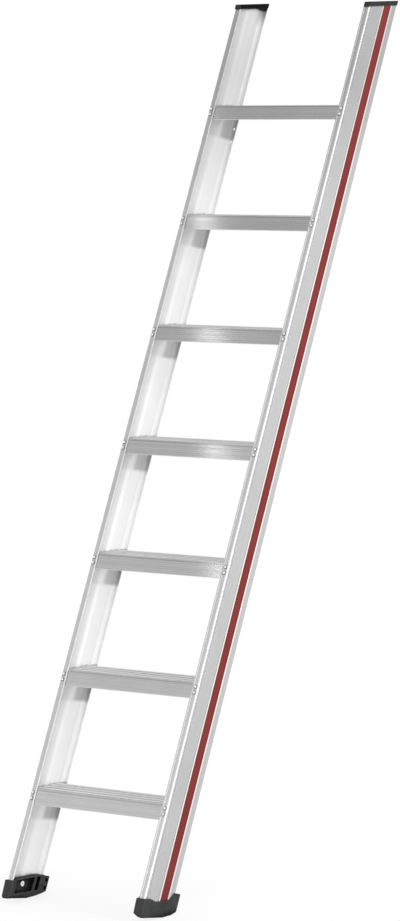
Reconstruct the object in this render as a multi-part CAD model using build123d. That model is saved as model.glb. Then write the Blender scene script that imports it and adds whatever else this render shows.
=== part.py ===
from build123d import *
import os
from math import cos, radians, sin, tan

# A leaning ladder with flat treads, in millimetres. +Z is up, +X runs across the ladder to its
# right-hand stile and +Y is the way the ladder leans. The origin is on the floor, under the middle
# of the space that the ladder takes up.

# Whole ladder
lean_angle = 65.4              # between the stiles and the floor, in degrees
ladder_width = 338             # over the outer faces of the stiles
tread_count = 7
tread_pitch = 250              # tread to tread, along the stiles
first_tread_height = 218       # floor to the top of the lowest tread

# Stile, a channel that opens towards the middle of the ladder
stile_depth = 95               # front to rear, square to the stile
front_flange_width = 14.5
rear_flange_width = 13
flange_thickness = 2.5         # of the front flange
rear_flange_thickness = 2.5
web_thickness = 2.4
front_corner_radius = 4
rear_corner_radius = 2.5
edge_groove_offset = 8         # front of the stile to a fine groove along its outer face
edge_groove_width = 1.8
edge_groove_depth = 0.8
cove_radius = 6.5              # inside the channel, between the web and the rear flange
tip_radius = 0.9               # on the edges of the flanges
bead_width = 3                 # raised edge along the front flange
bead_height = 0.8
bead_radius = 1.4
stile_top_rise = 204           # top tread to the upper end of the front flange
foot_cut_height = 28           # floor to the lower end of the front flange
foot_cut_slope = 8             # fall of the stile's lower end towards the rear, in degrees
top_cut_slope = 2.5            # climb of the stile's upper end towards the rear, in degrees

# Cover stripe, in a groove of the stile's outer face
stripe_offset = 21.9           # rear of the stile to the stripe
stripe_width = 23.6
stripe_face_thickness = 0.8
stripe_leg_width = 1.5
stripe_proud = 0.2
stripe_clearance = 0.1
groove_depth = 2.2
groove_floor_thickness = 1.8
lip_width = 4.2                # raised edges beside the groove
lip_height = 0.5
land_margin = 3                # thickened web inside the channel, past the groove's front edge
land_slope_width = 10          # from the thin web to the thickened one

# Tread, an extrusion that is open below
tread_depth = 82
tread_front_height = 30
tread_rear_height = 24
tread_wall = 1.8
tread_top_thickness = 3.2
tread_hem = 9                  # turned-in lower edges
tread_end_clearance = 0.2
nose_radius = 1.6
nose_width = 3.6
nose_groove_width = 3.4
rib_count = 4
rib_groove_width = 4
rib_height = 1.3
port_wall = 1.9

# Rivets through the front flange, and screws through the web under the stripe
rivet_inset = 7                # outer face of the stile to the rivets
rivet_rise = 12                # lower edge of the tread to the first rivet, along the stile
rivet_spacing = 12
rivet_radius = 2
rivet_head_radius = 4
rivet_head_height = 2.1
rivet_rim_height = 0.6
rivet_crown_width = 2.4        # middle of the head to the shoulder of its dome
rivet_crown_radius = 3
rivet_bulb_radius = 3
rivet_bulb_length = 3.5
mandrel_radius = 1.1
mandrel_sink = 0.25
screw_radius = 2
screw_head_radius = 4
screw_head_height = 1.3
screw_length = 18
screw_spacing = 10
fixing_clearance = 0.1

# Holes for an accessory, in the rear flange below the top tread
bracket_hole_radius = 3
bracket_hole_spacing = 30
bracket_hole_inset = 7.2
bracket_hole_drop = 50         # top of the top tread to the upper hole

# End cap
cap_thickness = 9.5
cap_overhang = 1               # past the stile, at its front and its outer face
cap_corner_radius = 2
cap_edge_radius = 1.2
front_plug_length = 7          # front to rear, behind the front flange
front_plug_width = 3
front_plug_depth = 9
rear_plug_length = 18
rear_plug_depth = 6            # at its rear
rear_plug_front_depth = 1.5
plug_clearance = 0.2

# Shoe
shoe_clearance = 0.2
shoe_outer_wall = 2.2
shoe_inner_wall = 4
shoe_front_wall = 2.4
shoe_heel = 13
shoe_toe_height = 13
shoe_toe_angle = 69
shoe_toe_radius = 5
shoe_front_height = 46
shoe_shoulder = 14             # front of the stile to the shoulder of the outer wall
shoe_shoulder_height = 43
shoe_shoulder_radius = 20
shoe_dip = 37                  # front of the stile to the foot of the shoulder's slope
shoe_dip_height = 33.5
shoe_dip_radius = 30
shoe_side_height = 30.8        # of the outer wall, where the horn starts
shoe_horn = 15.5               # rear of the stile to the foot of the horn
shoe_horn_radius = 12
shoe_horn_tip = 5              # rear of the stile to the tip of the horn
shoe_heel_height = 40.6
shoe_heel_fall = 4
shoe_core_front_height = 47.2
shoe_core_knee = 72            # front of the stile to a knee in the core's top
shoe_core_knee_height = 44.2
shoe_core_rear_height = 41
shoe_edge_radius = 1.2
sole_toe_rise = 9.5
sole_heel_rise = 3.5
sole_flat_length = 28
sole_flat_gap = 2              # rear of the stile to the flat of the sole
sole_bevel_width = 13          # along the inner edge of the sole
sole_bevel_height = 8          # at the inner face
sole_groove_width = 2
sole_groove_depth = 1.5
sole_groove_count = 2
recess_depth = 9
recess_rim = 2.5               # above the recesses
recess_front_rim = 5           # front flange to the wide recess
recess_floor_height = 19.5     # in line with the front of the stile
recess_floor_fall = 6          # from there to the rear of the stile
recess_radius = 2
shoe_rib_width = 6.8
shoe_slot_length = 11.7        # narrow recess between the ribs
shoe_slot_offset = 14          # rear of the stile to the narrow recess
shoe_pocket_length = 8.5
shoe_pocket_height = 8.5
shoe_pocket_wall = 2.5
shoe_pocket_spacing = 14.4
shoe_pocket_middle = 22.8      # floor to midway between the pockets
shoe_screw_radius = 2.2
shoe_screw_head_radius = 6
shoe_screw_head_height = 3
shoe_screw_socket_radius = 1.6
shoe_screw_socket_depth = 1.8
shoe_screw_offset = 13.6       # screw to the stripe's groove
shoe_screw_height = 33.3

half_width = ladder_width / 2
rise = sin(radians(lean_angle))
run = cos(radians(lean_angle))
top_tread_height = first_tread_height + (tread_count - 1) * tread_pitch * rise
stile_top_height = top_tread_height + stile_top_rise
stile_reach = (stile_top_height + stile_depth) / rise + stile_depth
groove_end = stile_depth - stripe_offset
groove_start = groove_end - stripe_width
land_front = groove_start - land_margin
land_inset = groove_depth + groove_floor_thickness
inner_rear = stile_depth - rear_flange_thickness
stripe_middle = (groove_start + groove_end) / 2
shoe_inset = front_flange_width + shoe_inner_wall


def inward(inset):
    # X of a point that lies this far inside the right stile's outer face
    return half_width - inset


def at_depth(depth, height):
    # Side-view point at a height, this far behind the front of the stiles and square to them
    return (depth + height * run) / rise, height


def to_lean(shape):
    # From the stile's own frame (X across, Y its depth, Z its length) to the leaning ladder
    return Rot(lean_angle - 90, 0, 0) * shape


def outline(corners):
    # Closed face, looking up, through corners (a, b, radius); a radius is a tangent arc
    points = [Vector(a, b) for a, b, _ in corners]
    starts, ends, edges = [], [], []
    for index, (_, _, radius) in enumerate(corners):
        corner = points[index]
        back = (points[index - 1] - corner).normalized()
        ahead = (points[(index + 1) % len(points)] - corner).normalized()
        half_turn = radians(back.get_angle(ahead)) / 2
        reach = radius / tan(half_turn)
        starts.append(corner + back * reach)
        ends.append(corner + ahead * reach)
        if radius:
            middle = corner + (back + ahead).normalized() * (radius / sin(half_turn) - radius)
            edges.append(ThreePointArc(starts[-1], middle, ends[-1]))
    for index, end in enumerate(ends):
        edges.append(Line(end, starts[(index + 1) % len(points)]))
    face = make_face(edges).face()
    return Sketch() + (face if face.normal_at().Z > 0 else -face)


def along_stile(section, start, length):
    # Extrusion of an (X, depth) section along the stile, leaned with it
    return to_lean(Pos(0, 0, start) * extrude(section, length))


def across(section, near_x, far_x):
    # Extrusion of a side-view (Y, Z) section from one X to another
    return Pos(near_x, 0, 0) * extrude(Plane.YZ * section, far_x - near_x)


def turned(corners):
    # Solid of revolution about Z from (radius, height, corner radius) corners
    return revolve(Plane.XZ * outline(corners), Axis.Z)


def both_sides(right_piece):
    return right_piece, mirror(right_piece, about=Plane.YZ)


def tread_place(index):
    # Shift of a tread, and of what holds it, from the lowest one
    step = index * tread_pitch
    return Pos(0, step * run, step * rise)


def stile_trim():
    # Space between the sloping cuts at the two ends of a stile
    reach = 2 * stile_depth
    fall = reach * tan(radians(foot_cut_slope))
    climb = reach * tan(radians(top_cut_slope))
    foot, _ = at_depth(0, foot_cut_height)
    top, _ = at_depth(0, stile_top_height)
    corners = [
        (foot - reach, foot_cut_height + fall, 0),
        (foot + reach, foot_cut_height - fall, 0),
        (top + reach, stile_top_height + climb, 0),
        (top - reach, stile_top_height - climb, 0),
    ]
    return across(outline(corners), -ladder_width, ladder_width)


def top_band(low, high):
    # Space between two heights over the upper cut of the stiles, parallel to it
    reach = 2 * stile_depth
    climb = reach * tan(radians(top_cut_slope))
    top, _ = at_depth(0, stile_top_height)
    corners = [
        (top - reach, stile_top_height - climb + low, 0),
        (top + reach, stile_top_height + climb + low, 0),
        (top + reach, stile_top_height + climb + high, 0),
        (top - reach, stile_top_height - climb + high, 0),
    ]
    return across(outline(corners), -ladder_width, ladder_width)


def cove_corner(clearance):
    # Rounded corner between the thickened web and the rear flange, kept clear of both
    return inward(land_inset + clearance), inner_rear - clearance, cove_radius - clearance


def stile_section():
    lip_front = groove_start - lip_width
    lip_rear = groove_end + lip_width
    return outline([
        (inward(front_flange_width), -bead_height, bead_radius),
        (inward(front_flange_width - bead_width), -bead_height, 0),
        (inward(front_flange_width - bead_width - bead_height), 0, 0),
        (inward(0), 0, front_corner_radius),
        (inward(0), edge_groove_offset, 0),
        (inward(edge_groove_depth), edge_groove_offset + edge_groove_width / 2, 0),
        (inward(0), edge_groove_offset + edge_groove_width, 0),
        (inward(0), lip_front, 0),
        (inward(-lip_height), lip_front, 0),
        (inward(-lip_height), groove_start, 0),
        (inward(groove_depth), groove_start, 0),
        (inward(groove_depth), groove_end, 0),
        (inward(-lip_height), groove_end, 0),
        (inward(-lip_height), lip_rear, 0),
        (inward(0), lip_rear, 0),
        (inward(0), stile_depth, rear_corner_radius),
        (inward(rear_flange_width), stile_depth, tip_radius),
        (inward(rear_flange_width), inner_rear, tip_radius),
        cove_corner(0),
        (inward(land_inset), land_front, 0),
        (inward(web_thickness), land_front - land_slope_width, 0),
        (inward(web_thickness), flange_thickness, 0),
        (inward(front_flange_width), flange_thickness, tip_radius),
    ])


def rivet_heights():
    # Lengths along the stile of the two rivets at the lowest tread
    lower_edge = (first_tread_height - tread_front_height + flange_thickness * run) / rise
    first = lower_edge + rivet_rise
    return first, first + rivet_spacing


def screw_points():
    # Side-view points of the two screws at the lowest tread
    height = first_tread_height - tread_top_thickness - screw_radius - fixing_clearance
    front = stripe_middle - screw_spacing / 2
    rear = stripe_middle + screw_spacing / 2
    return at_depth(front, height), at_depth(rear, height)


def rivet_tools(length):
    # Clearance cylinders for one tread end's rivets
    tool = Rot(-90, 0, 0) * Cylinder(rivet_radius + fixing_clearance, length)
    return [to_lean(Pos(inward(rivet_inset), 0, s) * tool) for s in rivet_heights()]


def rivet_seats():
    # Room for the rivets' heads in front of the flange, at one tread end
    seat = Pos(0, -bead_height, 0) * Rot(-90, 0, 0) * Cylinder(
        rivet_head_radius + fixing_clearance, 2 * bead_height
    )
    return [to_lean(Pos(inward(rivet_inset), 0, s) * seat) for s in rivet_heights()]


def screw_head_tools():
    # Room for the screws' heads on the groove's floor, at the lowest tread
    room = screw_head_height + fixing_clearance
    tool = Rot(0, 90, 0) * Cylinder(screw_head_radius + fixing_clearance, 2 * room)
    return [Pos(inward(groove_depth), y, z) * tool for y, z in screw_points()]


def bracket_tools():
    # Through holes in the rear flange
    upper = (top_tread_height - bracket_hole_drop + stile_depth * run) / rise
    reach = rear_flange_thickness + cove_radius
    tool = Rot(90, 0, 0) * Cylinder(bracket_hole_radius, 2 * reach)
    places = (upper, upper - bracket_hole_spacing)
    return [to_lean(Pos(inward(bracket_hole_inset), stile_depth, s) * tool) for s in places]


def shoe_screw_point():
    return at_depth(groove_start - shoe_screw_offset, shoe_screw_height)


def shoe_screw_tool():
    y, z = shoe_screw_point()
    tool = Cylinder(shoe_screw_radius + fixing_clearance, 4 * shoe_inset)
    return Pos(inward(0), y, z) * Rot(0, 90, 0) * tool


def right_stile():
    stile = along_stile(stile_section(), 0, stile_reach) & stile_trim()
    web_tool = Rot(0, 90, 0) * Cylinder(screw_radius + fixing_clearance, 4 * land_inset)
    screws = [Pos(inward(0), y, z) * web_tool for y, z in screw_points()]
    fixings = rivet_tools(4 * flange_thickness) + rivet_seats() + screws
    holes = [shoe_screw_tool()] + bracket_tools()
    for index in range(tread_count):
        holes += [tread_place(index) * tool for tool in fixings]
    return stile - holes


def right_stripe():
    front = groove_start + stripe_clearance
    rear = groove_end - stripe_clearance
    under = stripe_face_thickness - stripe_proud
    section = outline([
        (inward(-stripe_proud), front, 0),
        (inward(-stripe_proud), rear, 0),
        (inward(groove_depth), rear, 0),
        (inward(groove_depth), rear - stripe_leg_width, 0),
        (inward(under), rear - stripe_leg_width, 0),
        (inward(under), front + stripe_leg_width, 0),
        (inward(groove_depth), front + stripe_leg_width, 0),
        (inward(groove_depth), front, 0),
    ])
    stripe = along_stile(section, 0, stile_reach) & stile_trim()
    heads = [tread_place(index) * tool for index in range(tread_count) for tool in screw_head_tools()]
    return stripe - heads


def rib_corners(front, rear, top):
    # Grooved top of a tread, from the nose back
    first_rib = front + nose_width + nose_groove_width
    pitch = (rear - first_rib + rib_groove_width) / rib_count
    corners = [
        (front + nose_width, top, nose_radius / 2),
        (front + nose_width, top - rib_height, 0),
        (first_rib, top - rib_height, 0),
        (first_rib, top, 0),
    ]
    for rib in range(1, rib_count):
        groove = first_rib + rib * pitch - rib_groove_width
        corners += [
            (groove, top, 0),
            (groove, top - rib_height, 0),
            (groove + rib_groove_width, top - rib_height, 0),
            (groove + rib_groove_width, top, 0),
        ]
    return corners


def tread_notch():
    # Space that the thickened web, the cove and the rear flange need at the lowest tread's end
    gap = tread_end_clearance
    slope_length = land_slope_width * (land_inset + gap) / (land_inset - web_thickness)
    edge = rear_flange_width + gap
    section = outline([
        (inward(0), land_front - slope_length, 0),
        (inward(land_inset + gap), land_front, 0),
        cove_corner(gap),
        (inward(edge), inner_rear - gap, 0),
        (inward(edge), stile_depth, 0),
        (inward(0), stile_depth, 0),
    ])
    return along_stile(section, 0, first_tread_height / rise + stile_depth)


def lowest_tread():
    top = first_tread_height
    wall = tread_wall / rise
    slant = run / rise
    front, _ = at_depth(flange_thickness, top)
    rear = front + tread_depth
    front_low = top - tread_front_height
    rear_low = top - tread_rear_height
    under = top - tread_top_thickness
    front_foot = front - tread_front_height * slant
    rear_foot = rear - tread_rear_height * slant
    section = outline(
        [(front_foot, front_low, tread_wall / 2), (front, top, nose_radius)]
        + rib_corners(front, rear, top)
        + [
            (rear, top, nose_radius),
            (rear_foot, rear_low, tread_wall / 2),
            (rear_foot - tread_hem, rear_low, 0),
            (rear_foot - tread_hem, rear_low + tread_wall, 0),
            (rear_foot - wall + tread_wall * slant, rear_low + tread_wall, 0),
            (rear - wall - tread_top_thickness * slant, under, 0),
            (front + wall - tread_top_thickness * slant, under, 0),
            (front_foot + wall + tread_wall * slant, front_low + tread_wall, 0),
            (front_foot + tread_hem, front_low + tread_wall, 0),
            (front_foot + tread_hem, front_low, 0),
        ]
    )
    bore = screw_radius + fixing_clearance
    section += [Pos(y, z) * Circle(bore + port_wall) for y, z in screw_points()]
    section -= [Pos(y, z) * Circle(bore) for y, z in screw_points()]
    end = inward(web_thickness + tread_end_clearance)
    tread = across(section, -end, end)
    rivets = rivet_tools(2 * (flange_thickness + 2 * tread_wall))
    tools = [piece for tool in [tread_notch()] + rivets for piece in both_sides(tool)]
    return tread - tools


def tread_rivets():
    # Blind rivets at both ends of the lowest tread
    grip = flange_thickness + tread_wall
    rivet = turned([
        (0, mandrel_sink - rivet_head_height, 0),
        (mandrel_radius, mandrel_sink - rivet_head_height, 0),
        (mandrel_radius, -rivet_head_height, 0),
        (rivet_crown_width, -rivet_head_height, rivet_crown_radius),
        (rivet_head_radius, -rivet_rim_height, rivet_rim_height / 2),
        (rivet_head_radius, 0, 0),
        (rivet_radius, 0, 0),
        (rivet_radius, grip, 0),
        (rivet_bulb_radius, grip, 0),
        (rivet_bulb_radius, grip + rivet_bulb_length, rivet_radius / 2),
        (0, grip + rivet_bulb_length, 0),
    ])
    rivet = Rot(-90, 0, 0) * rivet
    right = [to_lean(Pos(inward(rivet_inset), 0, s) * rivet) for s in rivet_heights()]
    return [piece for one in right for piece in both_sides(one)]


def tread_screws():
    # Flat-headed screws at both ends of the lowest tread
    screw = turned([
        (0, -screw_head_height, 0),
        (screw_head_radius, -screw_head_height, screw_head_height / 2),
        (screw_head_radius, 0, 0),
        (screw_radius, 0, 0),
        (screw_radius, screw_length, screw_radius / 2),
        (0, screw_length, 0),
    ])
    screw = Rot(0, -90, 0) * screw
    right = [Pos(inward(groove_depth), y, z) * screw for y, z in screw_points()]
    return [piece for one in right for piece in both_sides(one)]


def under_top(depth, drop):
    # Side-view point this far below the stile's upper cut, at a depth
    climb = tan(radians(top_cut_slope))
    cut_height = stile_top_height + climb * depth / (rise - climb * run)
    return at_depth(depth, cut_height - drop)


def cap_plugs():
    # Blocks inside the channel: one behind the front flange, one in the cove with a slanting underside
    near = land_inset + plug_clearance
    front = flange_thickness + plug_clearance
    front_section = outline([
        (inward(near), front, 0),
        (inward(near + front_plug_width), front, 0),
        (inward(near + front_plug_width), front + front_plug_length, 0),
        (inward(near), front + front_plug_length, 0),
    ])
    rear_section = outline([
        (inward(near), stripe_middle, 0),
        cove_corner(plug_clearance),
        (inward(rear_flange_width), inner_rear - plug_clearance, 0),
        (inward(rear_flange_width), stripe_middle, 0),
    ])
    overlap = cap_thickness / 2
    rear_side = outline([
        (*under_top(inner_rear - rear_plug_length, -overlap), 0),
        (*under_top(inner_rear, -overlap), 0),
        (*under_top(inner_rear, rear_plug_depth), 0),
        (*under_top(inner_rear - rear_plug_length, rear_plug_front_depth), 0),
    ])
    front_plug = along_stile(front_section, 0, stile_reach) & top_band(-front_plug_depth, overlap)
    rear_plug = along_stile(rear_section, 0, stile_reach) & across(rear_side, 0, ladder_width)
    return front_plug + rear_plug


def right_cap():
    # Plate on the end of the stile, with two plugs inside the channel
    section = outline([
        (inward(front_flange_width), -bead_height - cap_overhang, cap_corner_radius),
        (inward(-lip_height - cap_overhang), -bead_height - cap_overhang, front_corner_radius),
        (inward(-lip_height - cap_overhang), stile_depth, rear_corner_radius),
        (inward(front_flange_width), stile_depth, cap_corner_radius),
    ])
    plate = along_stile(section, 0, stile_reach) & top_band(0, cap_thickness)
    plate = fillet(plate.faces().sort_by(Axis.Z)[-1].edges(), cap_edge_radius)
    return plate + cap_plugs()


def shoe_slot():
    # The stile's end with clearance round it, standing on the sloping lower cut
    gap = shoe_clearance
    edge = rear_flange_width + gap
    section = outline([
        (inward(front_flange_width + gap), -bead_height - gap, 0),
        (inward(-lip_height - gap), -bead_height - gap, 0),
        (inward(-lip_height - gap), stile_depth + gap, 0),
        (inward(edge), stile_depth + gap, 0),
        (inward(edge), inner_rear - gap, 0),
        cove_corner(gap),
        (inward(land_inset + gap), flange_thickness + gap, 0),
        (inward(front_flange_width + gap), flange_thickness + gap, 0),
    ])
    return along_stile(section, 0, 2 * stile_depth) & stile_trim()


def shoe_toe():
    # Side-view Y of the front face at the shoe's top and at the top of its rounded toe
    front, _ = at_depth(-shoe_front_wall - bead_height, shoe_front_height)
    return front, front - (shoe_front_height - shoe_toe_height) / tan(radians(shoe_toe_angle))


def sole_points():
    # Side view of the sole: end of the heel, rear and front of the flat, toe
    _, toe = shoe_toe()
    flat_rear, _ = at_depth(stile_depth - sole_flat_gap, 0)
    return [
        at_depth(stile_depth + shoe_heel, sole_heel_rise),
        (flat_rear, 0),
        (flat_rear - sole_flat_length, 0),
        (toe + shoe_toe_radius, sole_toe_rise),
    ]


def shoe_body():
    # Side view of the block round the stile's end: toe, outer wall with its dip, heel and sole
    front, toe = shoe_toe()
    heel_low, flat_rear, flat_front, toe_low = sole_points()
    shoulder = at_depth(shoe_shoulder, shoe_shoulder_height)
    dip = at_depth(shoe_dip, shoe_dip_height)
    horn_foot = at_depth(stile_depth - shoe_horn, shoe_side_height)
    horn = at_depth(stile_depth - shoe_horn_tip, shoe_heel_height)
    heel_top = at_depth(stile_depth + shoe_heel, shoe_heel_height - shoe_heel_fall)
    return outline([
        (toe, shoe_toe_height, shoe_toe_radius),
        (front, shoe_front_height, shoe_edge_radius),
        (*shoulder, shoe_shoulder_radius),
        (*dip, shoe_dip_radius),
        (*horn_foot, shoe_horn_radius),
        (*horn, shoe_edge_radius),
        (*heel_top, 2 * shoe_edge_radius),
        (*heel_low, shoe_toe_radius),
        (*flat_rear, 0),
        (*flat_front, 0),
        (*toe_low, 0),
    ])


def sole_bevel(near, far):
    # Wedge off the sole's inner edge along one straight stretch, run out past both its ends
    start = Vector(0, *near)
    along = Vector(0, *far) - start
    overrun = along.normalized() * 2 * shoe_heel
    wedge = outline([
        (inward(shoe_inset - sole_bevel_width), 0, 0),
        (inward(shoe_inset + sole_bevel_width), 2 * sole_bevel_height, 0),
        (inward(shoe_inset + sole_bevel_width), -sole_bevel_height, 0),
    ])
    plane = Plane(start - overrun, x_dir=(1, 0, 0), z_dir=along)
    return extrude(plane * wedge, along.length + 2 * overrun.length)


def core_top(depth):
    # Height of the core's top: a gentle fall back to the knee, then a steeper one
    near_depth, near_height = flange_thickness, shoe_core_front_height
    far_depth, far_height = shoe_core_knee, shoe_core_knee_height
    if depth > shoe_core_knee:
        near_depth, near_height = far_depth, far_height
        far_depth, far_height = inner_rear, shoe_core_rear_height
    return near_height + (far_height - near_height) * (depth - near_depth) / (far_depth - near_depth)


def shoe_core():
    # Side view of the block inside the channel
    front = flange_thickness + shoe_clearance
    rear = inner_rear - shoe_clearance
    return outline([
        (*at_depth(front, shoe_toe_height), 0),
        (*at_depth(front, core_top(front)), shoe_edge_radius),
        (*at_depth(shoe_core_knee, shoe_core_knee_height), shoe_shoulder_radius),
        (*at_depth(rear, core_top(rear)), shoe_edge_radius),
        (*at_depth(rear, shoe_toe_height), 0),
    ])


def recess(front, rear):
    # Side view of a recess between two depths, inside the core's rim
    floor_fall = recess_floor_fall / stile_depth
    return outline([
        (*at_depth(front, recess_floor_height - floor_fall * front), recess_radius),
        (*at_depth(front, core_top(front) - recess_rim), recess_radius),
        (*at_depth(rear, core_top(rear) - recess_rim), recess_radius),
        (*at_depth(rear, recess_floor_height - floor_fall * rear), recess_radius),
    ])


def right_shoe():
    inner_x = inward(shoe_inset)
    outer_x = inward(-lip_height - shoe_outer_wall)
    floor_x = inward(shoe_inset - recess_depth)
    shoe = across(shoe_body(), inner_x, outer_x) + across(shoe_core(), inner_x, inward(web_thickness))
    slot_rear = stile_depth - shoe_slot_offset
    slot_front = slot_rear - shoe_slot_length
    main_front = flange_thickness + recess_front_rim
    main_rear = slot_front - shoe_rib_width
    pocket_front = stile_depth + shoe_heel - shoe_pocket_wall - shoe_pocket_length
    cuts = [
        shoe_slot(),
        across(recess(main_front, main_rear), inner_x, floor_x),
        across(recess(slot_front, slot_rear), inner_x, floor_x),
        shoe_screw_tool(),
    ]
    screw_y, screw_z = shoe_screw_point()
    head_room = Rot(0, 90, 0) * Cylinder(shoe_screw_head_radius + fixing_clearance, 2 * recess_depth)
    cuts.append(Pos(inner_x, screw_y, screw_z) * head_room)
    sole = sole_points()
    cuts += [sole_bevel(near, far) for near, far in zip(sole[1:], sole[2:])]
    (flat_rear, _), (flat_front, _) = sole[1:3]
    for groove in range(1, sole_groove_count + 1):
        y = flat_rear + (flat_front - flat_rear) * groove / (sole_groove_count + 1)
        cuts.append(Pos(half_width, y, 0) * Box(ladder_width, sole_groove_width, 2 * sole_groove_depth))
    for offset in (-shoe_pocket_spacing / 2, shoe_pocket_spacing / 2):
        y, z = at_depth(pocket_front + shoe_pocket_length / 2, shoe_pocket_middle + offset)
        pocket = Box(2 * recess_depth, shoe_pocket_length, shoe_pocket_height)
        cuts.append(Pos(inner_x, y, z) * to_lean(pocket))
    return shoe - cuts


def right_shoe_screw():
    # Socket-headed screw from the recess into the web
    floor_inset = shoe_inset - recess_depth
    screw = turned([
        (0, shoe_screw_socket_depth - shoe_screw_head_height, 0),
        (shoe_screw_socket_radius, shoe_screw_socket_depth - shoe_screw_head_height, 0),
        (shoe_screw_socket_radius, -shoe_screw_head_height, 0),
        (shoe_screw_head_radius, -shoe_screw_head_height, shoe_screw_head_height / 2),
        (shoe_screw_head_radius, 0, 0),
        (shoe_screw_radius, 0, 0),
        (shoe_screw_radius, floor_inset, 0),
        (0, floor_inset, 0),
    ])
    y, z = shoe_screw_point()
    return Pos(inward(floor_inset), y, z) * Rot(0, 90, 0) * screw


def ladder():
    # Every piece by name, standing where the stiles' front line meets the floor at Y = 0
    pieces = {}
    pairs = {
        "stile": right_stile(),
        "cover_stripe": right_stripe(),
        "end_cap": right_cap(),
        "shoe": right_shoe(),
        "shoe_screw": right_shoe_screw(),
    }
    for name, right_piece in pairs.items():
        pieces["right_" + name], pieces["left_" + name] = both_sides(right_piece)
    sets = {
        "": [lowest_tread()],
        "_rivets": tread_rivets(),
        "_screws": tread_screws(),
    }
    for index in range(tread_count):
        for ending, solids in sets.items():
            placed = [tread_place(index) * solid for solid in solids]
            pieces[f"tread_{index + 1}{ending}"] = Compound(placed)
    return pieces


pieces = ladder()
whole = Compound([solid for piece in pieces.values() for solid in piece.solids()])
middle = whole.bounding_box().center().Y
print(f"the front line of the stiles meets the floor at y = {-middle:.4f}")
os.makedirs("parts", exist_ok=True)
for name, piece in pieces.items():
    export_step(Pos(0, -middle, 0) * piece, f"parts/{name}.step")
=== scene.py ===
import bpy
import math
from mathutils import Matrix, Vector


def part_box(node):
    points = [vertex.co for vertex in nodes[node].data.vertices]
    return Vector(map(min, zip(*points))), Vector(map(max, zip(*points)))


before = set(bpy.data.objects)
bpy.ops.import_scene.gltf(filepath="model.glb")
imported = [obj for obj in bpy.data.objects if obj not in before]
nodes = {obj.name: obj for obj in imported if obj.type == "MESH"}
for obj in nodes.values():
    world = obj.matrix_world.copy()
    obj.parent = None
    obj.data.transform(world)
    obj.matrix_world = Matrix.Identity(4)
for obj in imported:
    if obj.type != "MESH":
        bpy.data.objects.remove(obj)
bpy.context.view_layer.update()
print("frame:", len(nodes), "CAD nodes")

acrossAxis = Vector((1, 0, 0))                      # the treads run along this
upAxis = Vector((0, 0, 1))
stileAxis = (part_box("tread_7")[0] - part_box("tread_1")[0]).normalized()
frontAxis = acrossAxis.cross(stileAxis)             # out of the ladder's front, square to the stiles
leanTurn = math.atan2(stileAxis.y, stileAxis.z)     # how far the stiles tilt from upright
treadCount = sum(name.removeprefix("tread_").isdigit() for name in nodes)


def depthRange(name):
    # where a node starts and ends behind the world origin, square to the stiles
    points = [vertex.co for vertex in nodes[name].data.vertices]
    depths = [point.y * math.cos(leanTurn) - point.z * math.sin(leanTurn) for point in points]
    return min(depths), max(depths)


def below(level, gaps):
    return [level - gap for gap in gaps]


stileFront, stileRear = depthRange("right_stile")
stripeFront, stripeRear = depthRange("right_cover_stripe")
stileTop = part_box("right_stile")[1].z
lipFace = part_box("right_stile")[1].x                # outer face of the raised edges beside the stripe
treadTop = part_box("tread_1")[1].z
treadStep = (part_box(f"tread_{treadCount}")[1].z - treadTop) / (treadCount - 1)


def addNode(tree, kind, feeds=None, **settings):
    # feeds maps a socket's name or number to a value, or to the output that feeds it
    node = tree.nodes.new(kind)
    for key, value in settings.items():
        setattr(node, key, value)
    for key, value in (feeds or {}).items():
        if isinstance(value, bpy.types.NodeSocket):
            tree.links.new(value, node.inputs[key])
        else:
            node.inputs[key].default_value = value
    return node


def mathNode(tree, operation, first, second=0.0, third=0.0):
    return addNode(tree, "ShaderNodeMath", {0: first, 1: second, 2: third}, operation=operation).outputs[0]


def vectorNode(tree, operation, first, second=(0, 0, 0)):
    return addNode(tree, "ShaderNodeVectorMath", {0: first, 1: second}, operation=operation).outputs


def rampNode(tree, value, low, high, toLow=0.0, toHigh=1.0, shape="SMOOTHSTEP"):
    feeds = {"Value": value, "From Min": low, "From Max": high, "To Min": toLow, "To Max": toHigh}
    return addNode(tree, "ShaderNodeMapRange", feeds, interpolation_type=shape).outputs[0]


def noiseNode(tree, vector, scale, detail=2.0, roughness=0.5):
    feeds = {"Vector": vector, "Scale": scale, "Detail": detail, "Roughness": roughness}
    return addNode(tree, "ShaderNodeTexNoise", feeds).outputs[0]


def objectPoint(tree):
    return addNode(tree, "ShaderNodeTexCoord").outputs["Object"]


def turnedPoint(tree, angle):
    feeds = {"Vector": objectPoint(tree), "Angle": angle}
    return addNode(tree, "ShaderNodeVectorRotate", feeds, rotation_type="X_AXIS").outputs[0]


def splitPoint(tree, point):
    return addNode(tree, "ShaderNodeSeparateXYZ", {0: point}).outputs


def stilePoint(tree):
    # X across, Y depth behind the stile's front, Z along the stile
    placed = vectorNode(tree, "SUBTRACT", turnedPoint(tree, leanTurn), (0, stileFront, 0))[0]
    return splitPoint(tree, placed)


def facing(tree, axis):
    normal = addNode(tree, "ShaderNodeNewGeometry").outputs["Normal"]
    return vectorNode(tree, "DOT_PRODUCT", normal, axis)[1]


def product(tree, first, *others):
    for other in others:
        first = mathNode(tree, "MULTIPLY", first, other)
    return first


def blended(tree, mask, first, second):
    # from the first value to the second, which may vary too, as the mask goes from 0 to 1
    if isinstance(second, bpy.types.NodeSocket):
        swing = mathNode(tree, "SUBTRACT", second, first)
    else:
        swing = second - first
    return mathNode(tree, "MULTIPLY_ADD", mask, swing, first)


def bandMask(tree, value, band):
    # 1 at the middle of the band, 0 at its start and end
    start, middle, end = band
    return product(tree, rampNode(tree, value, start, middle), rampNode(tree, value, end, middle))


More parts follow.
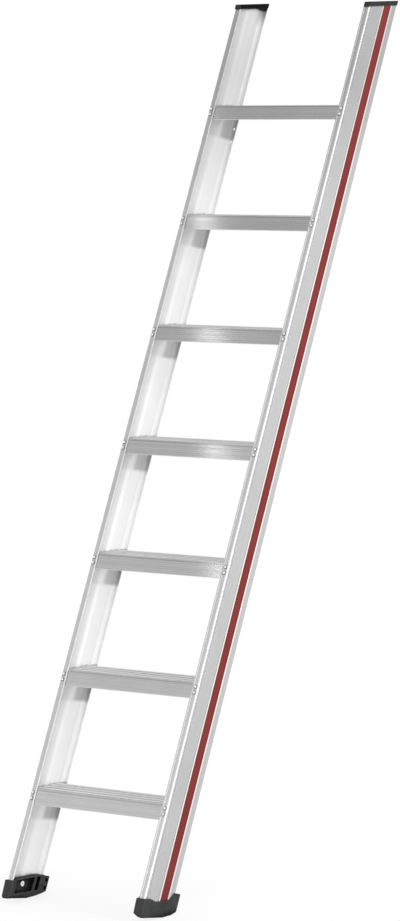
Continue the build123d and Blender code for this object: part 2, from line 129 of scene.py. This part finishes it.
def newGroup(name, inputs, outputs):
    group = bpy.data.node_groups.new(name, "ShaderNodeTree")
    for label, kind, value in inputs:
        socket = group.interface.new_socket(label, in_out="INPUT", socket_type=kind)
        socket.default_value = value
    for label in outputs:
        group.interface.new_socket(label, in_out="OUTPUT", socket_type="NodeSocketFloat")
    given = addNode(group, "NodeGroupInput").outputs
    result = addNode(group, "NodeGroupOutput").inputs
    return group, given, result


def placeGroup(tree, group, feeds):
    return addNode(tree, "ShaderNodeGroup", feeds, node_tree=group).outputs


number, direction = "NodeSocketFloat", "NodeSocketVector"


def makeDrawnLines():
    # lines that the die leaves along an extrusion: hairlines and soft bands
    bandRange = (0.3, 0.7)
    inputs = [("Turn", number, 0.0), ("Stretch", direction, (1, 1, 1)),
              ("Hair Scale", number, 600.0), ("Band Scale", number, 60.0)]
    group, given, result = newGroup("drawnLines", inputs, ["Hair", "Band"])
    drawn = vectorNode(group, "MULTIPLY", turnedPoint(group, given["Turn"]), given["Stretch"])[0]
    hair = noiseNode(group, drawn, given["Hair Scale"])
    band = noiseNode(group, drawn, given["Band Scale"], detail=1.0)
    group.links.new(hair, result["Hair"])
    group.links.new(rampNode(group, band, *bandRange), result["Band"])
    return group


def makeHandling():
    # cloudy marks of handling and rolling
    cloudRange = (0.32, 0.68)
    group, given, result = newGroup("handling", [("Scale", number, 9.0)], ["Cloud"])
    cloud = noiseNode(group, objectPoint(group), given["Scale"], detail=4.0, roughness=0.55)
    group.links.new(rampNode(group, cloud, *cloudRange), result["Cloud"])
    return group


def makeEdgeWearAndSheen():
    # mask along edges, broken up a little
    turnRange = (0.005, 0.2)
    breakRange = (0.2, 0.6)
    breakTones = (0.5, 1.0)
    inputs = [("Width", number, 0.001), ("Break Up", number, 300.0)]
    group, given, result = newGroup("edgeWearAndSheen", inputs, ["Edge"])
    rounded = addNode(group, "ShaderNodeBevel", {"Radius": given["Width"]}, samples=6).outputs[0]
    turn = mathNode(group, "SUBTRACT", 1.0, facing(group, rounded))
    broken = noiseNode(group, objectPoint(group), given["Break Up"], detail=3.0)
    broken = rampNode(group, broken, *breakRange, *breakTones)
    edge = product(group, rampNode(group, turn, *turnRange), broken)
    group.links.new(edge, result["Edge"])
    return group


def makeCornerGrime():
    # mask in tight corners and beside fasteners: painted shade from ambient occlusion, broken up in
    # patches like grime
    patchScale = 120.0
    patchRange = (0.3, 0.7)
    patchTones = (0.7, 1.0)
    group, given, result = newGroup("cornerGrime", [("Reach", number, 0.004)], ["Grime"])
    shade = addNode(group, "ShaderNodeAmbientOcclusion", {"Distance": given["Reach"]}, samples=8)
    shadeAndGrime = mathNode(group, "SUBTRACT", 1.0, shade.outputs["AO"])
    patchy = noiseNode(group, objectPoint(group), patchScale, detail=3.0)
    patchy = rampNode(group, patchy, *patchRange, *patchTones)
    group.links.new(product(group, shadeAndGrime, patchy), result["Grime"])
    return group


def makeMouldGrain():
    # fine leathery grain of moulded plastic
    softShare = 0.6                       # scale of the soft lumps, as a share of the pebbles' scale
    mottleScale = 45.0
    mottleRange = (0.3, 0.7)
    group, given, result = newGroup("mouldGrain", [("Scale", number, 900.0)], ["Height", "Mottle"])
    point = objectPoint(group)
    pebbles = addNode(group, "ShaderNodeTexVoronoi", {"Vector": point, "Scale": given["Scale"]})
    soft = noiseNode(group, point, mathNode(group, "MULTIPLY", given["Scale"], softShare))
    mottle = noiseNode(group, point, mottleScale, detail=3.0)
    group.links.new(product(group, pebbles.outputs["Distance"], soft), result["Height"])
    group.links.new(rampNode(group, mottle, *mottleRange), result["Mottle"])
    return group


drawnLines = makeDrawnLines()
handling = makeHandling()
edgeWearAndSheen = makeEdgeWearAndSheen()
cornerGrime = makeCornerGrime()
mouldGrain = makeMouldGrain()
print("shader groups:", ", ".join(group.name for group in bpy.data.node_groups))

white = (1, 1, 1)


def emptyMaterial(name):
    material = bpy.data.materials.new(name)
    material.use_nodes = True
    material.node_tree.nodes.clear()
    return material, material.node_tree


def newMaterial(name, look):
    material, tree = emptyMaterial(name)
    shader = addNode(tree, "ShaderNodeBsdfPrincipled", look["shader"])
    addNode(tree, "ShaderNodeOutputMaterial", {"Surface": shader.outputs[0]})
    material.diffuse_color = (*look["color"], 1)
    return material, tree, shader.inputs


def feedShader(tree, shader, feeds):
    for label, output in feeds.items():
        tree.links.new(output, shader[label])


def drawnMasks(tree, turn, look):
    return placeGroup(tree, drawnLines, {
        "Turn": turn, "Stretch": look["stretch"],
        "Hair Scale": look["hairScale"], "Band Scale": look["bandScale"]})


def cloudMask(tree, look):
    return placeGroup(tree, handling, {"Scale": look["cloudScale"]})["Cloud"]


def shadeAndGrimeTone(tree, look):
    # painted shade and grime: darker in the corners
    shadeAndGrime = placeGroup(tree, cornerGrime, {"Reach": look["shadeAndGrimeReach"]})["Grime"]
    return rampNode(tree, shadeAndGrime, *look["shadeAndGrimeRange"], 1.0, 1 - look["shadeAndGrimeDepth"], look["shadeAndGrimeShape"])


def varied(tree, *masks):
    # 1, less the given share of each mask's swing about its middle
    return product(tree, *(blended(tree, mask, 1 + depth / 2, 1 - depth / 2) for depth, mask in masks))


def scaledColor(tree, color, tone):
    node = addNode(tree, "ShaderNodeVectorMath", {0: color, "Scale": tone}, operation="SCALE")
    return node.outputs[0]


def mixedColor(tree, share, first, second):
    # from the first colour to the second
    swing = [end - start for start, end in zip(first, second)]
    return vectorNode(tree, "ADD", scaledColor(tree, swing, share), first)[0]


def drawnTangent(tree, axis):
    # the drawn lines spread a highlight square to themselves
    normal = addNode(tree, "ShaderNodeNewGeometry").outputs["Normal"]
    return vectorNode(tree, "CROSS_PRODUCT", normal, axis)[0]


def bumped(tree, height, look):
    rounded = addNode(tree, "ShaderNodeBevel", {"Radius": look["edgeRounding"]}, samples=4).outputs[0]
    return addNode(tree, "ShaderNodeBump", {
        "Strength": look["bumpStrength"], "Distance": look["bumpDistance"],
        "Height": height, "Normal": rounded}).outputs[0]


stileLook = {
    "color": (0.80, 0.80, 0.805),
    "shader": {"Anisotropic": 0.6, "Specular IOR Level": 0.3},
    "metallic": 0.8,
    "roughness": 0.34,
    "bandRoughness": 0.05,
    "cloudRoughness": 0.06,
    "stretch": (1, 1, 0.004),             # the drawn lines run along the stile
    "hairScale": 900.0,
    "hairDepth": 0.05,
    "bandScale": 70.0,
    "bandDepth": 0.05,
    "cloudScale": 7.0,
    "cloudDepth": 0.07,
    "shadeAndGrimeReach": 0.004,
    "shadeAndGrimeRange": (0.05, 0.45),
    "shadeAndGrimeShape": "SMOOTHSTEP",
    "shadeAndGrimeDepth": 0.55,
    "bumpStrength": 0.08,
    "bumpDistance": 0.0004,
    "edgeRounding": 0.0005,
    "outerShadeTone": 0.645,                   # the outer face is darker than the inside, painted shade that holds back the lamps on the right
    "outerInset": (0.0012, 0.0006),       # insets are measured from the outer face of the lips
    "insideInset": (0.001, 0.002),
    "lipHighlightColor": (0.90, 0.80, 0.79),       # painted highlight on the lips beside the stripe, pale and tinged pink by the stripe
    "lipInset": (0.0004, 0.0001),
    "frontShadeTone": 0.89,                    # painted shade: faces turned to the front, the front flange, are a little darker
    "frontFacing": (0.85, 0.98),
    "insideTone": (0.9, 1.05),            # inside the channel, from just behind the flange to its middle
    "insideBand": (0.02, 0.05),
    "upperTone": 0.81,                    # the upper end is darker
    "upperBand": (0.45, 0.1),             # below the top
    "grooveShade": 0.62,                   # painted shade along the fine groove of the outer face
    "grooveBand": (0.0065, 0.0088, 0.011),
    "rearFacing": (-0.6, -0.3),           # faces turned to the rear have no cove and no painted tread shadows
    "coveBand": (0.014, 0.008),           # the cove is rougher, from these depths in front of the rear
    "coveRoughness": 0.35,                # added to the roughness
    "coveMetallic": 0.25,
    # painted light: the cove's colour is lifted by this much
    "covePaintedLight": 1.15,
    "capShade": 0.6,                      # painted shade in the cove under the end cap
    "capShadeStart": 0.75,                # share of the stile's depth
    "capShadeInset": (0.002, 0.004),
    "capShadeBand": (0.045, 0.004),       # below the top
    "treadShadowDrop": (0.053, 0.062),          # painted shadow on the web under each tread, below the tread's top
    "treadShadowSlope": 0.16,                   # its lower edge falls towards the rear
    "treadShadowFront": (0.0025, 0.0035),       # it starts behind the front flange
    "treadShadowFade": 0.001,                   # and ends at the top of the uppermost tread
    "treadShadowDepth": (0.049, 0.066),         # it is darker towards the rear
    "treadShadowTone": (0.87, 0.57),
}


def stileAluminium(look):
    material, tree, shader = newMaterial("stileAluminium", look)
    lines = drawnMasks(tree, leanTurn, look)
    cloud = cloudMask(tree, look)
    place = stilePoint(tree)
    depth = place["Y"]
    reach = mathNode(tree, "ABSOLUTE", place["X"])
    height = splitPoint(tree, objectPoint(tree))["Z"]
    forward = facing(tree, frontAxis)
    fullDepth = stileRear - stileFront
    topTread = treadTop + (treadCount - 1) * treadStep

    inside = rampNode(tree, reach, *below(lipFace, look["insideInset"]))
    outside = mathNode(tree, "SUBTRACT", 1.0, inside)
    notRear = rampNode(tree, forward, *look["rearFacing"])
    lip = rampNode(tree, reach, *below(lipFace, look["lipInset"]))
    groove = product(tree, outside, bandMask(tree, depth, look["grooveBand"]))
    cove = product(tree, inside, notRear, rampNode(tree, depth, *below(fullDepth, look["coveBand"])))
    # painted shade in the cove under the end cap
    underCap = product(tree, rampNode(tree, depth, look["capShadeStart"] * fullDepth, fullDepth),
                       rampNode(tree, reach, *below(lipFace, look["capShadeInset"])),
                       rampNode(tree, height, *below(stileTop, look["capShadeBand"])))
    # painted shadow of each tread on the web inside the channel
    drop = mathNode(tree, "MODULO", mathNode(tree, "SUBTRACT", topTread, height), treadStep)
    drop = mathNode(tree, "MULTIPLY_ADD", depth, -look["treadShadowSlope"], drop)
    treadShadow = product(tree, inside, notRear, rampNode(tree, drop, *look["treadShadowDrop"], 1.0, 0.0),
                    rampNode(tree, height, topTread, topTread + look["treadShadowFade"], 1.0, 0.0),
                    rampNode(tree, depth, *look["treadShadowFront"]))

    insideTone = rampNode(tree, depth, *look["insideBand"], *look["insideTone"])
    treadShadowTone = rampNode(tree, depth, *look["treadShadowDepth"], *look["treadShadowTone"])
    tone = product(
        tree,
        varied(tree, (look["hairDepth"], lines["Hair"]), (look["bandDepth"], lines["Band"]),
               (look["cloudDepth"], cloud)),
        # painted shade on the outer face
        rampNode(tree, reach, *below(lipFace, look["outerInset"]), 1 / look["outerShadeTone"], 1.0),
        # painted shade on faces turned to the front
        rampNode(tree, forward, *look["frontFacing"], 1.0, look["frontShadeTone"]),
        rampNode(tree, height, *below(stileTop, look["upperBand"]), 1.0, look["upperTone"]),
        blended(tree, groove, 1.0, look["grooveShade"]),
        blended(tree, inside, 1.0, insideTone),
        blended(tree, underCap, 1.0, 1 - look["capShade"]),
        # painted shadow under each tread
        blended(tree, treadShadow, 1.0, treadShadowTone),
        # painted light lifting the cove
        blended(tree, cove, 1.0, look["covePaintedLight"]),
        shadeAndGrimeTone(tree, look),
    )
    # the tone lifts all but the outer face back to the full colour
    outerColor = [share * look["outerShadeTone"] for share in look["color"]]
    color = mixedColor(tree, lip, outerColor, look["lipHighlightColor"])
    rough = mathNode(tree, "MULTIPLY_ADD", lines["Band"], look["bandRoughness"], look["roughness"])
    rough = mathNode(tree, "MULTIPLY_ADD", cloud, look["cloudRoughness"], rough)
    feedShader(tree, shader, {
        "Base Color": scaledColor(tree, color, tone),
        "Roughness": mathNode(tree, "MULTIPLY_ADD", cove, look["coveRoughness"], rough),
        "Metallic": blended(tree, cove, look["metallic"], look["coveMetallic"]),
        "Tangent": drawnTangent(tree, stileAxis),
        "Normal": bumped(tree, lines["Hair"], look),
    })
    return material


treadLook = {
    "color": (0.72, 0.72, 0.72),
    "shader": {"Anisotropic": 1.0},
    "metallic": 1.0,
    "roughness": 0.168,
    "bandRoughness": 0.02,
    "stretch": (0.006, 1, 1),             # the drawn lines run across the ladder
    "hairScale": 1100.0,
    "hairDepth": 0.06,
    "bandScale": 160.0,
    "bandDepth": 0.08,
    "cloudScale": 14.0,
    "cloudDepth": 0.05,
    "shadeAndGrimeReach": 0.005,
    "shadeAndGrimeRange": (0.0, 1.0),
    "shadeAndGrimeShape": "LINEAR",
    "shadeAndGrimeDepth": 0.25,
    "bumpStrength": 0.08,
    "bumpDistance": 0.0004,
    "edgeRounding": 0.0006,
    "topFacing": (0.7, 0.95),
    "topLitTone": 1.24,                      # the standing surface is rougher than the front, and paler with painted light from above
    "topMetallic": 0.35,
    "topRoughness": 0.45,
    "topSlack": 0.1,                      # share of the step between treads, so that a top isn't missed
    "grooveShade": 0.68,                   # painted shade on the floors of its grooves
    "grooveDrop": (0.0003, 0.0009),       # drops are measured from the tread's top
    "noseShadeTone": 0.76,                     # painted shadow line along the front, under the nose
    "noseDrop": (0.001, 0.0025, 0.005),
    "rollScale": 230.0,                   # soft even lines along the front
    "rollDepth": 0.10,
}


def treadAluminium(look):
    material, tree, shader = newMaterial("treadAluminium", look)
    lines = drawnMasks(tree, 0.0, look)
    height = splitPoint(tree, objectPoint(tree))["Z"]
    slack = look["topSlack"] * treadStep
    fromAbove = mathNode(tree, "SUBTRACT", treadTop + treadCount * treadStep + slack, height)
    drop = mathNode(tree, "SUBTRACT", mathNode(tree, "MODULO", fromAbove, treadStep), slack)
    up = rampNode(tree, facing(tree, upAxis), *look["topFacing"])
    topTones = (look["topLitTone"], look["topLitTone"] * look["grooveShade"])
    topLitTone = rampNode(tree, drop, *look["grooveDrop"], *topTones)
    roll = mathNode(tree, "MULTIPLY", stilePoint(tree)["Z"], look["rollScale"] * math.tau)
    roll = mathNode(tree, "SINE", roll)
    tone = product(
        tree,
        varied(tree, (look["hairDepth"], lines["Hair"]), (look["bandDepth"], lines["Band"]),
               (look["cloudDepth"], cloudMask(tree, look))),
        shadeAndGrimeTone(tree, look),
        blended(tree, up, 1.0, topLitTone),
        blended(tree, bandMask(tree, drop, look["noseDrop"]), 1.0, look["noseShadeTone"]),
        mathNode(tree, "MULTIPLY_ADD", roll, look["rollDepth"] / 2, 1.0),
    )
    rough = blended(tree, up, look["roughness"], look["topRoughness"])
    feedShader(tree, shader, {
        "Base Color": scaledColor(tree, look["color"], tone),
        "Roughness": mathNode(tree, "MULTIPLY_ADD", lines["Band"], look["bandRoughness"], rough),
        "Metallic": blended(tree, up, look["metallic"], look["topMetallic"]),
        "Tangent": drawnTangent(tree, acrossAxis),
        "Normal": bumped(tree, lines["Hair"], look),
    })
    return material


rivetLook = {
    # pale and barely metallic, so the middle of each head shows a painted highlight
    "color": (0.95, 0.95, 0.95),
    "shader": {"Metallic": 0.3, "Specular IOR Level": 0.5},
    "roughness": 0.3,
    "cloudRoughness": 0.12,
    "cloudScale": 160.0,
    "cloudDepth": 0.12,
    "shadeAndGrimeReach": 0.0025,
    "shadeAndGrimeRange": (0.1, 0.5),
    "shadeAndGrimeShape": "SMOOTHSTEP",
    "shadeAndGrimeDepth": 0.75,
    "axis": frontAxis,                    # the way its head faces
    "rimShadeTone": 0.15,                      # painted shade: the rim of the head is dark
    "rimFacing": (0.78, 0.97),
}
screwLook = rivetLook | {
    # pale and barely metallic, so the head shows a painted highlight
    "color": (0.95, 0.95, 0.93),
    "shader": {"Metallic": 0.25, "Specular IOR Level": 0.5},
    "roughness": 0.4,
    "shadeAndGrimeDepth": 0.95,
    "axis": acrossAxis,
    "rimShadeTone": 0.45,
}


def fastenerMetal(name, look):
    material, tree, shader = newMaterial(name, look)
    cloud = cloudMask(tree, look)
    flat = mathNode(tree, "ABSOLUTE", facing(tree, look["axis"]))
    # painted shade on the rim of each head
    rim = rampNode(tree, flat, *look["rimFacing"], look["rimShadeTone"], 1.0)
    tone = product(tree, varied(tree, (look["cloudDepth"], cloud)), shadeAndGrimeTone(tree, look), rim)
    feedShader(tree, shader, {
        "Base Color": scaledColor(tree, look["color"], tone),
        "Roughness": mathNode(tree, "MULTIPLY_ADD", cloud, look["cloudRoughness"], look["roughness"]),
    })
    return material


stripeLook = {
    "color": (0.20, 0.016, 0.0125),
    "shader": {"Specular IOR Level": 0.2},
    "roughness": 0.42,
    "cloudRoughness": 0.08,
    "stretch": (1, 1, 0.01),
    "hairScale": 700.0,
    "bandScale": 120.0,
    "bandDepth": 0.10,
    "cloudScale": 16.0,
    "cloudDepth": 0.10,
    "bumpStrength": 0.1,
    "bumpDistance": 0.0003,
    "edgeRounding": 0.0004,
    "edgeShadeTone": 0.5,                      # painted shade along both edges, where they sit in the groove
    "edgeBand": 0.006,
}


def stripePlastic(look):
    material, tree, shader = newMaterial("stripePlastic", look)
    lines = drawnMasks(tree, leanTurn, look)
    cloud = cloudMask(tree, look)
    middle = (stripeFront + stripeRear) / 2 - stileFront
    half = (stripeRear - stripeFront) / 2
    fromMiddle = mathNode(tree, "SUBTRACT", stilePoint(tree)["Y"], middle)
    fromMiddle = mathNode(tree, "ABSOLUTE", fromMiddle)
    # painted shade along the stripe's edges
    edge = rampNode(tree, fromMiddle, half - look["edgeBand"], half, 1.0, look["edgeShadeTone"])
    tone = varied(tree, (look["bandDepth"], lines["Band"]), (look["cloudDepth"], cloud))
    feedShader(tree, shader, {
        "Base Color": scaledColor(tree, look["color"], product(tree, tone, edge)),
        "Roughness": mathNode(tree, "MULTIPLY_ADD", cloud, look["cloudRoughness"], look["roughness"]),
        "Normal": bumped(tree, lines["Hair"], look),
    })
    return material


capLook = {
    "color": (0.034, 0.036, 0.037),
    "shader": {"Specular IOR Level": 0.05},
    "roughness": 0.6,
    "mottleRoughness": 0.1,
    "mottleDepth": 0.2,
    "grainScale": 1100.0,
    "edgeWidth": 0.0016,
    "edgeBreakUp": 260.0,
    "edgeLiftWearAndSheen": 0.05,                     # the edges are paler by this much, worn and with a painted highlight
    "shadeAndGrimeReach": 0.012,
    "shadeAndGrimeRange": (0.08, 0.4),
    "shadeAndGrimeShape": "SMOOTHSTEP",
    "shadeAndGrimeDepth": 0.9,
    "innerShadeTone": 0.1,                     # painted shade on faces turned to the middle of the ladder
    "innerFacing": (-0.9, -0.6),
    "bumpStrength": 0.25,
    "bumpDistance": 0.0004,
    "edgeRounding": 0.0008,
}
shoeLook = capLook | {
    "color": (0.043, 0.044, 0.045),
    "shader": {"Specular IOR Level": 0.12},
    "roughness": 0.68,
    "grainScale": 800.0,
    "edgeWidth": 0.002,
    "edgeLiftWearAndSheen": 0.08,
    "shadeAndGrimeReach": 0.02,
    "shadeAndGrimeDepth": 0.95,
    "innerShadeTone": 0.9,
}


def mouldedPlastic(name, look):
    material, tree, shader = newMaterial(name, look)
    grain = placeGroup(tree, mouldGrain, {"Scale": look["grainScale"]})
    wear = {"Width": look["edgeWidth"], "Break Up": look["edgeBreakUp"]}
    edge = placeGroup(tree, edgeWearAndSheen, wear)["Edge"]
    outward = mathNode(tree, "SIGN", stilePoint(tree)["X"])
    outward = product(tree, outward, facing(tree, acrossAxis))
    # painted shade on faces turned to the middle of the ladder
    inner = rampNode(tree, outward, *look["innerFacing"], look["innerShadeTone"], 1.0)
    mottled = varied(tree, (look["mottleDepth"], grain["Mottle"]))
    color = scaledColor(tree, look["color"], product(tree, mottled, shadeAndGrimeTone(tree, look), inner))
    # worn edges with a painted highlight
    lift = scaledColor(tree, white, product(tree, edge, look["edgeLiftWearAndSheen"]))
    rough = mathNode(tree, "MULTIPLY_ADD", grain["Mottle"], look["mottleRoughness"], look["roughness"])
    feedShader(tree, shader, {
        "Base Color": vectorNode(tree, "ADD", color, lift)[0],
        "Roughness": rough,
        "Normal": bumped(tree, grain["Height"], look),
    })
    return material


finishes = {
    "stile": stileAluminium(stileLook),
    "cover_stripe": stripePlastic(stripeLook),
    "end_cap": mouldedPlastic("capPlastic", capLook),
    "shoe": mouldedPlastic("shoePlastic", shoeLook),
    "tread": treadAluminium(treadLook),
    "rivets": fastenerMetal("rivetAluminium", rivetLook),
    "screw": fastenerMetal("screwSteel", screwLook),
}


def finishOf(name):
    if name.endswith("_rivets"):
        return finishes["rivets"]
    if name.endswith(("_screws", "_screw")):
        return finishes["screw"]
    if name.startswith("tread_"):
        return finishes["tread"]
    return finishes[name.split("_", 1)[1]]


for name, piece in nodes.items():
    piece.data.materials.clear()
    piece.data.materials.append(finishOf(name))
print("finishes:", len(finishes), "materials on", len(nodes), "nodes,", treadCount, "treads")

studio = {
    "floorSize": 60.0,
    "floorColor": (0.96, 0.96, 0.96),
    "shadowShare": 0.18,                  # how much of the floor near the ladder shows its shading
    "shadowReach": (0.25, 0.6),           # distance from the middle of the feet
    "ambient": 0.8,
    "ceilingHeight": 3.2,
    "ceilingSize": 24.0,
    "ceilingStops": ((1.7, 0.32), (2.5, 0.46), (5.2, 0.62), (9.0, 1.0)),    # distance, brightness
    "ceilingSide": (-2.1, 0.8),           # brighter towards the right, from one X to another
    "ceilingLift": 0.6,                   # by this much
}


def seenMask(tree):
    # what the camera, reflections and glass see
    path = addNode(tree, "ShaderNodeLightPath").outputs
    mask = path["Is Camera Ray"]
    for kind in ("Is Glossy Ray", "Is Transmission Ray"):
        mask = mathNode(tree, "MAXIMUM", mask, path[kind])
    return mask


def glowNode(tree, kind, strength, color=(*white, 1)):
    return addNode(tree, kind, {"Color": color, "Strength": strength}).outputs[0]


def addPlane(name, size, height, material):
    bpy.ops.mesh.primitive_plane_add(size=size, location=(0, 0, height))
    plane = bpy.context.object
    plane.name = name
    plane.data.materials.append(material)
    return plane


def makeFloor(look):
    material, tree = emptyMaterial("floorWhite")
    matte = addNode(tree, "ShaderNodeBsdfDiffuse", {"Color": (*look["floorColor"], 1)}).outputs[0]
    glow = glowNode(tree, "ShaderNodeEmission", 1.0)
    feet = sum(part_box("right_shoe"), Vector()) / 2
    distance = vectorNode(tree, "DISTANCE", objectPoint(tree), (0, feet.y, 0))[1]
    plain = rampNode(tree, distance, *look["shadowReach"], 1 - look["shadowShare"], 1.0)
    share = product(tree, seenMask(tree), plain)
    mixed = addNode(tree, "ShaderNodeMixShader", {0: share, 1: matte, 2: glow}).outputs[0]
    addNode(tree, "ShaderNodeOutputMaterial", {"Surface": mixed})
    floor = addPlane("studioFloor", look["floorSize"], 0, material)


def makeCeiling(look):
    # grey ceiling that only reflections see
    material, tree = emptyMaterial("ceilingGrey")
    distance = vectorNode(tree, "LENGTH", objectPoint(tree))[1]
    across = splitPoint(tree, objectPoint(tree))["X"]
    stops = look["ceilingStops"]
    grey = stops[0][1]
    for (near, dark), (far, bright) in zip(stops, stops[1:]):
        step = rampNode(tree, distance, near, far, 0.0, bright - dark, "LINEAR")
        grey = mathNode(tree, "ADD", step, grey)
    side = rampNode(tree, across, *look["ceilingSide"], 0.0, look["ceilingLift"])
    grey = mathNode(tree, "MINIMUM", mathNode(tree, "ADD", grey, side), 1.0)
    glow = glowNode(tree, "ShaderNodeEmission", 1.0, grey)
    addNode(tree, "ShaderNodeOutputMaterial", {"Surface": glow})
    ceiling = addPlane("studioCeiling", look["ceilingSize"], look["ceilingHeight"], material)
    ceiling.visible_camera = False
    ceiling.visible_diffuse = False
    ceiling.visible_shadow = False


def makeWorld(look):
    world = bpy.data.worlds.new("studioWhite")
    bpy.context.scene.world = world
    world.use_nodes = True
    tree = world.node_tree
    tree.nodes.clear()
    fill = glowNode(tree, "ShaderNodeBackground", look["ambient"])
    backdrop = glowNode(tree, "ShaderNodeBackground", 1.0)
    mixed = addNode(tree, "ShaderNodeMixShader", {0: seenMask(tree), 1: fill, 2: backdrop}).outputs[0]
    addNode(tree, "ShaderNodeOutputWorld", {"Surface": mixed})


lamps = {
    "keySoftbox": {"place": (1.6, -3.4, 1.7), "aim": (0, 0, 0.9), "size": (1.4, 1.0), "watts": 24},
    "streakStrip": {"place": (-0.721, -0.761, 1.753), "aim": (0, 0.15, 1.34), "size": (0.02, 2.0),
                    "watts": 0.24, "along": (-0.375, 0.416, 0.909)},
    "rightStrip": {"place": (1.6, -0.1, 1.6), "aim": (0.17, 0.0, 1.0), "size": (0.16, 2.6),
                   "watts": 8, "along": stileAxis},
    "rearStrip": {"place": (3.4, 1.1, 1.9), "aim": (0, 0, 1.2), "size": (0.4, 2.6), "watts": 18},
    "leftStrip": {"place": (-3.4, 0.5, 1.5), "aim": (0, 0, 0.9), "size": (0.5, 2.4), "watts": 22},
}


def makeLamp(name, look):
    light = bpy.data.lights.new(name, "AREA")
    light.shape = "RECTANGLE"
    light.size, light.size_y = look["size"]
    light.energy = look["watts"]
    lamp = bpy.data.objects.new(name, light)
    lamp.location = look["place"]
    aim = (Vector(look["aim"]) - lamp.location).normalized()
    side = aim.cross(Vector(look.get("along", upAxis))).normalized()
    lamp.rotation_euler = Matrix((side, side.cross(aim), -aim)).transposed().to_euler()
    lamp.visible_camera = False
    bpy.context.scene.collection.objects.link(lamp)


makeFloor(studio)
makeCeiling(studio)
makeWorld(studio)
for name, look in lamps.items():
    makeLamp(name, look)
print("studio:", len(lamps), "lamps")

view = {
    "place": (4.489, -6.429, 1.526),
    "azimuth": 35.007,                    # degrees round from the front, towards the right-hand stile
    "pitch": 4.863,                       # degrees down
    "focalPixels": 3858,
    "imageHeight": 921,
}


def makeCamera(look):
    lens = bpy.data.cameras.new("photoView")
    lens.lens = look["focalPixels"] * lens.sensor_width / look["imageHeight"]
    camera = bpy.data.objects.new("photoView", lens)
    camera.location = look["place"]
    camera.rotation_euler = (math.radians(90 - look["pitch"]), 0, math.radians(look["azimuth"]))
    bpy.context.scene.collection.objects.link(camera)
    bpy.context.scene.camera = camera
    bpy.context.scene.view_settings.view_transform = "Standard"


makeCamera(view)
print("camera:", tuple(round(x, 3) for x in view["place"]))
